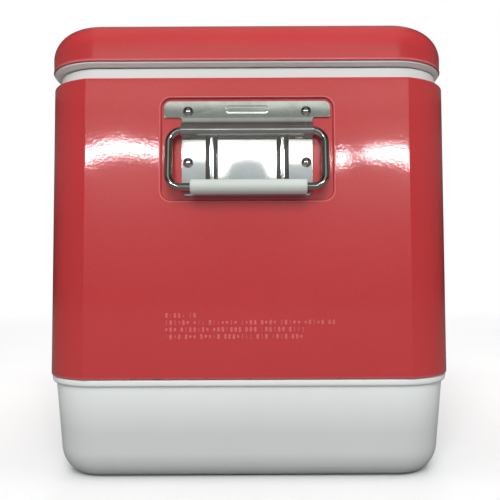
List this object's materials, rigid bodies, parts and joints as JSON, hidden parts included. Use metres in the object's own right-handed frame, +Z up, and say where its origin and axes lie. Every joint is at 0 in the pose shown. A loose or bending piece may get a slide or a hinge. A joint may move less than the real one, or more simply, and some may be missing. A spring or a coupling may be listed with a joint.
{
  "type": "picnic cooler chest",
  "caption": "Insulated picnic cooler chest: red steel belt, white moulded base and liner, rear-hinged steel lid, swinging bail handle on each end, hasp latch and screw-capped drain.",
  "frame": {"origin": "middle of the flat underside, on the floor", "axes": "+X along the length, -Y is the latch side and +Y the hinge side, +Z up"},
  "size_m": [0.643, 0.3932, 0.4148],
  "materials": {
    "red_steel": "gloss",
    "white_plastic": "satin",
    "grip_plastic": "satin",
    "stainless": "polished",
    "black_rubber": "matte",
    "foam": "matte"
  },
  "bodies": {
    "chest": {"steel_belt": "red_steel", "base_pan": "white_plastic", "inner_liner": "white_plastic", "drain_spout": "white_plastic", "drain_nut": "white_plastic", "handle_plate_right": "stainless", "handle_rivet_right_1": "stainless", "handle_rivet_right_2": "stainless", "handle_rivet_right_3": "stainless", "handle_rivet_right_4": "stainless", "hinge_body_leaf_right": "stainless", "hinge_pin_right": "stainless", "hinge_body_rivet_right_1": "stainless", "hinge_body_rivet_right_2": "stainless", "handle_plate_left": "stainless", "handle_rivet_left_1": "stainless", "handle_rivet_left_2": "stainless", "handle_rivet_left_3": "stainless", "handle_rivet_left_4": "stainless", "hinge_body_leaf_left": "stainless", "hinge_pin_left": "stainless", "hinge_body_rivet_left_1": "stainless", "hinge_body_rivet_left_2": "stainless", "latch_plate": "stainless", "latch_pin": "stainless", "latch_rivet_1": "stainless", "latch_rivet_2": "stainless", "latch_rivet_3": "stainless", "latch_rivet_4": "stainless", "drain_gasket": "black_rubber", "body_foam": "foam"},
    "lid": {"lid_skin": "red_steel", "lid_liner": "white_plastic", "lid_foam": "foam", "lid_gasket": "black_rubber", "latch_strike": "stainless", "strike_rivet_1": "stainless", "strike_rivet_2": "stainless", "hinge_lid_leaf_right": "stainless", "hinge_lid_rivet_right_1": "stainless", "hinge_lid_rivet_right_2": "stainless", "hinge_lid_leaf_left": "stainless", "hinge_lid_rivet_left_1": "stainless", "hinge_lid_rivet_left_2": "stainless"},
    "bail_right": {"handle_bail_right": "stainless", "handle_grip_right": "grip_plastic"},
    "bail_left": {"handle_bail_left": "stainless", "handle_grip_left": "grip_plastic"},
    "latch": {"latch_lever": "stainless"},
    "cap_washer": {"drain_cap_washer": "black_rubber"},
    "cap": {"drain_cap": "white_plastic"}
  },
  "joints": [
    {"name": "lid_hinge", "type": "hinge", "parent": "chest", "child": "lid", "pos_m": [0, 0.1885, 0.366], "axis": [-1, 0, 0], "range_deg": [0, 100]},
    {"name": "bail_right_swing", "type": "hinge", "parent": "chest", "child": "bail_right", "pos_m": [0.3097, 0, 0.306], "axis": [0, -1, 0], "range_deg": [0, 165]},
    {"name": "bail_left_swing", "type": "hinge", "parent": "chest", "child": "bail_left", "pos_m": [-0.3097, 0, 0.306], "axis": [0, 1, 0], "range_deg": [0, 165]},
    {"name": "latch_swing", "type": "hinge", "parent": "chest", "child": "latch", "pos_m": [0, -0.1905, 0.3243], "axis": [-1, 0, 0], "range_deg": [0, 170]},
    {"name": "cap_travel", "type": "slide", "parent": "chest", "child": "cap_washer", "axis": [-1, 0, 0], "range_m": [0, 0.0076]},
    {"name": "cap_turn", "type": "hinge", "parent": "cap_washer", "child": "cap", "pos_m": [-0.31, 0, 0.062], "axis": [-1, 0, 0], "range_deg": [0, 900]}
  ],
  "couplings": [
    {"joint": "cap_travel", "follows": "cap_turn", "m_per_rad": 0.00047746}
  ]
}
